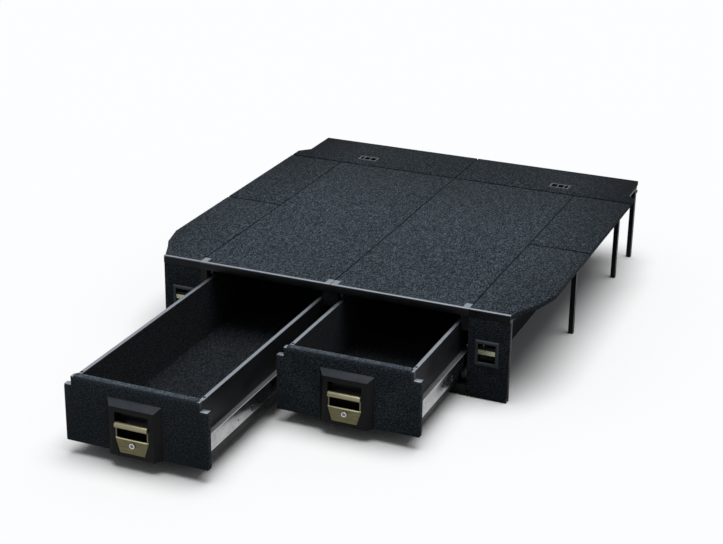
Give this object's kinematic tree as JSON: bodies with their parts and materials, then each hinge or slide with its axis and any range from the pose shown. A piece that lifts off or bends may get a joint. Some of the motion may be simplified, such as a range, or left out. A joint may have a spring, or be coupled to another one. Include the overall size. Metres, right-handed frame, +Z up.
{
  "type": "ute drawer system",
  "caption": "Drawer storage system for a ute bed: carpeted deck over steel modules with long roller drawers, side infills with drop-down doors and lift-up rear hatches",
  "frame": {"origin": "centre of the whole object's footprint on the bed floor, with the drawers as stored", "axes": "X to the right seen from the drawer fronts, Y from the drawer fronts towards the cab along the drawers' travel, Z up"},
  "size_m": [1.453, 2.4542, 0.321],
  "materials": {
    "carpet": "charcoal needle-felt carpet glued over board",
    "black_steel": "satin black powder coat on folded steel",
    "aluminium": "satin anodised extrusion",
    "galvanised": "bright zinc-coated rolled steel",
    "black_plastic": "fine-grained satin black moulding",
    "grey_plastic": "matte grey moulding",
    "olive_metal": "olive-gold satin finish on metal",
    "chrome": "polished lock barrel",
    "nylon": "smooth grey nylon",
    "zinc": "zinc-plated steel"
  },
  "bodies": {
    "frame": {"left_outer_side_frame": "black_steel", "left_inner_side_frame": "black_steel", "left_front_lip_bar": "black_steel", "left_deck_nosing": "aluminium", "left_rear_panel": "black_steel", "left_deck_board": "carpet", "left_floor_tie": "black_steel", "left_infill_frame": "black_steel", "left_infill_board_front": "carpet", "left_infill_board_rear": "carpet", "right_outer_side_frame": "black_steel", "right_inner_side_frame": "black_steel", "right_front_lip_bar": "black_steel", "right_deck_nosing": "aluminium", "right_rear_panel": "black_steel", "right_deck_board": "carpet", "right_floor_tie": "black_steel", "right_infill_frame": "black_steel", "right_infill_board_front": "carpet", "right_infill_board_rear": "carpet"},
    "left_drawer": {"left_drawer_front": "carpet", "left_drawer_tray": "carpet", "left_drawer_rim": "aluminium", "left_drawer_outer_wall": "black_steel", "left_drawer_outer_runner": "galvanised", "left_drawer_inner_wall": "black_steel", "left_drawer_inner_runner": "galvanised", "left_handle_bezel": "black_plastic"},
    "left_handle": {"left_pull_handle": "olive_metal"},
    "left_lock": {"left_lock_barrel": "chrome"},
    "left_hook": {"left_latch_hook": "zinc"},
    "left_outer_front_roller": {"left_outer_front_roller": "nylon"},
    "left_drawer_outer_rear_roller": {"left_drawer_outer_rear_roller": "nylon"},
    "left_inner_front_roller": {"left_inner_front_roller": "nylon"},
    "left_drawer_inner_rear_roller": {"left_drawer_inner_rear_roller": "nylon"},
    "left_door": {"left_infill_door": "carpet", "left_door_pull_bezel": "black_plastic"},
    "left_paddle": {"left_door_pull_paddle": "olive_metal"},
    "left_hatch": {"left_rear_hatch": "carpet", "left_hatch_pull": "grey_plastic"},
    "right_drawer": {"right_drawer_front": "carpet", "right_drawer_tray": "carpet", "right_drawer_rim": "aluminium", "right_drawer_outer_wall": "black_steel", "right_drawer_outer_runner": "galvanised", "right_drawer_inner_wall": "black_steel", "right_drawer_inner_runner": "galvanised", "right_handle_bezel": "black_plastic"},
    "right_handle": {"right_pull_handle": "olive_metal"},
    "right_lock": {"right_lock_barrel": "chrome"},
    "right_hook": {"right_latch_hook": "zinc"},
    "right_outer_front_roller": {"right_outer_front_roller": "nylon"},
    "right_drawer_outer_rear_roller": {"right_drawer_outer_rear_roller": "nylon"},
    "right_inner_front_roller": {"right_inner_front_roller": "nylon"},
    "right_drawer_inner_rear_roller": {"right_drawer_inner_rear_roller": "nylon"},
    "right_door": {"right_infill_door": "carpet", "right_door_pull_bezel": "black_plastic"},
    "right_paddle": {"right_door_pull_paddle": "olive_metal"},
    "right_hatch": {"right_rear_hatch": "carpet", "right_hatch_pull": "grey_plastic"}
  },
  "joints": [
    {"name": "left_drawer_slide", "type": "slide", "parent": "frame", "child": "left_drawer", "axis": [0, -1, 0], "range_m": [-0.89, 0.16]},
    {"name": "left_handle_hinge", "type": "hinge", "parent": "left_drawer", "child": "left_handle", "pos_m": [-0.25, -1.21237, 0.063], "axis": [1, 0, 0], "range_deg": [0, 25], "stiffness_Nm_per_rad": 1.5, "springref_deg": -8.59},
    {"name": "left_lock_turn", "type": "hinge", "parent": "left_handle", "child": "left_lock", "pos_m": [-0.25, -1.21237, 0.0875], "axis": [0, 1, 0], "range_deg": [0, 90]},
    {"name": "left_hook_hinge", "type": "hinge", "parent": "left_drawer", "child": "left_hook", "pos_m": [-0.25, -1.15937, 0.0505], "axis": [1, 0, 0], "range_deg": [-80, 0], "stiffness_Nm_per_rad": 0.05, "springref_deg": 17.19},
    {"name": "left_outer_front_roller_spin", "type": "hinge", "parent": "frame", "child": "left_outer_front_roller", "pos_m": [-0.48333, -0.25187, 0.0662], "axis": [1, 0, 0], "continuous": true},
    {"name": "left_drawer_outer_rear_roller_spin", "type": "hinge", "parent": "left_drawer", "child": "left_drawer_outer_rear_roller", "pos_m": [-0.48333, -0.02147, 0.0647], "axis": [1, 0, 0], "continuous": true},
    {"name": "left_inner_front_roller_spin", "type": "hinge", "parent": "frame", "child": "left_inner_front_roller", "pos_m": [-0.01667, -0.25187, 0.0662], "axis": [1, 0, 0], "continuous": true},
    {"name": "left_drawer_inner_rear_roller_spin", "type": "hinge", "parent": "left_drawer", "child": "left_drawer_inner_rear_roller", "pos_m": [-0.01667, -0.02147, 0.0647], "axis": [1, 0, 0], "continuous": true},
    {"name": "left_door_hinge", "type": "hinge", "parent": "frame", "child": "left_door", "pos_m": [-0.5724, -0.29637, 0.0105], "axis": [1, 0, 0], "range_deg": [0, 85]},
    {"name": "left_paddle_hinge", "type": "hinge", "parent": "left_door", "child": "left_paddle", "pos_m": [-0.568, -0.30387, 0.1785], "axis": [1, 0, 0], "range_deg": [-25, 0], "stiffness_Nm_per_rad": 0.3, "springref_deg": 11.46},
    {"name": "left_hatch_hinge", "type": "hinge", "parent": "frame", "child": "left_hatch", "pos_m": [-0.344, 1.22113, 0.293], "axis": [1, 0, 0], "range_deg": [-88, 0]},
    {"name": "right_drawer_slide", "type": "slide", "parent": "frame", "child": "right_drawer", "axis": [0, -1, 0], "range_m": [-0.4288, 0.6212]},
    {"name": "right_handle_hinge", "type": "hinge", "parent": "right_drawer", "child": "right_handle", "pos_m": [0.25, -0.75117, 0.063], "axis": [1, 0, 0], "range_deg": [0, 25], "stiffness_Nm_per_rad": 1.5, "springref_deg": -8.59},
    {"name": "right_lock_turn", "type": "hinge", "parent": "right_handle", "child": "right_lock", "pos_m": [0.25, -0.75117, 0.0875], "axis": [0, 1, 0], "range_deg": [0, 90]},
    {"name": "right_hook_hinge", "type": "hinge", "parent": "right_drawer", "child": "right_hook", "pos_m": [0.25, -0.69817, 0.0505], "axis": [1, 0, 0], "range_deg": [-80, 0], "stiffness_Nm_per_rad": 0.05, "springref_deg": 17.19},
    {"name": "right_outer_front_roller_spin", "type": "hinge", "parent": "frame", "child": "right_outer_front_roller", "pos_m": [0.48333, -0.25187, 0.0662], "axis": [1, 0, 0], "continuous": true},
    {"name": "right_drawer_outer_rear_roller_spin", "type": "hinge", "parent": "right_drawer", "child": "right_drawer_outer_rear_roller", "pos_m": [0.48333, 0.43973, 0.0647], "axis": [1, 0, 0], "continuous": true},
    {"name": "right_inner_front_roller_spin", "type": "hinge", "parent": "frame", "child": "right_inner_front_roller", "pos_m": [0.01667, -0.25187, 0.0662], "axis": [1, 0, 0], "continuous": true},
    {"name": "right_drawer_inner_rear_roller_spin", "type": "hinge", "parent": "right_drawer", "child": "right_drawer_inner_rear_roller", "pos_m": [0.01667, 0.43973, 0.0647], "axis": [1, 0, 0], "continuous": true},
    {"name": "right_door_hinge", "type": "hinge", "parent": "frame", "child": "right_door", "pos_m": [0.5724, -0.29637, 0.0105], "axis": [1, 0, 0], "range_deg": [0, 85]},
    {"name": "right_paddle_hinge", "type": "hinge", "parent": "right_door", "child": "right_paddle", "pos_m": [0.568, -0.30387, 0.1785], "axis": [1, 0, 0], "range_deg": [-25, 0], "stiffness_Nm_per_rad": 0.3, "springref_deg": 11.46},
    {"name": "right_hatch_hinge", "type": "hinge", "parent": "frame", "child": "right_hatch", "pos_m": [0.344, 1.22113, 0.293], "axis": [1, 0, 0], "range_deg": [-88, 0]}
  ],
  "couplings": [
    {"joint": "left_outer_front_roller_spin", "follows": "left_drawer_slide", "rad_per_m": 39.216},
    {"joint": "left_drawer_outer_rear_roller_spin", "follows": "left_drawer_slide", "rad_per_m": -58.824},
    {"joint": "left_inner_front_roller_spin", "follows": "left_drawer_slide", "rad_per_m": 39.216},
    {"joint": "left_drawer_inner_rear_roller_spin", "follows": "left_drawer_slide", "rad_per_m": -58.824},
    {"joint": "right_outer_front_roller_spin", "follows": "right_drawer_slide", "rad_per_m": 39.216},
    {"joint": "right_drawer_outer_rear_roller_spin", "follows": "right_drawer_slide", "rad_per_m": -58.824},
    {"joint": "right_inner_front_roller_spin", "follows": "right_drawer_slide", "rad_per_m": 39.216},
    {"joint": "right_drawer_inner_rear_roller_spin", "follows": "right_drawer_slide", "rad_per_m": -58.824}
  ]
}
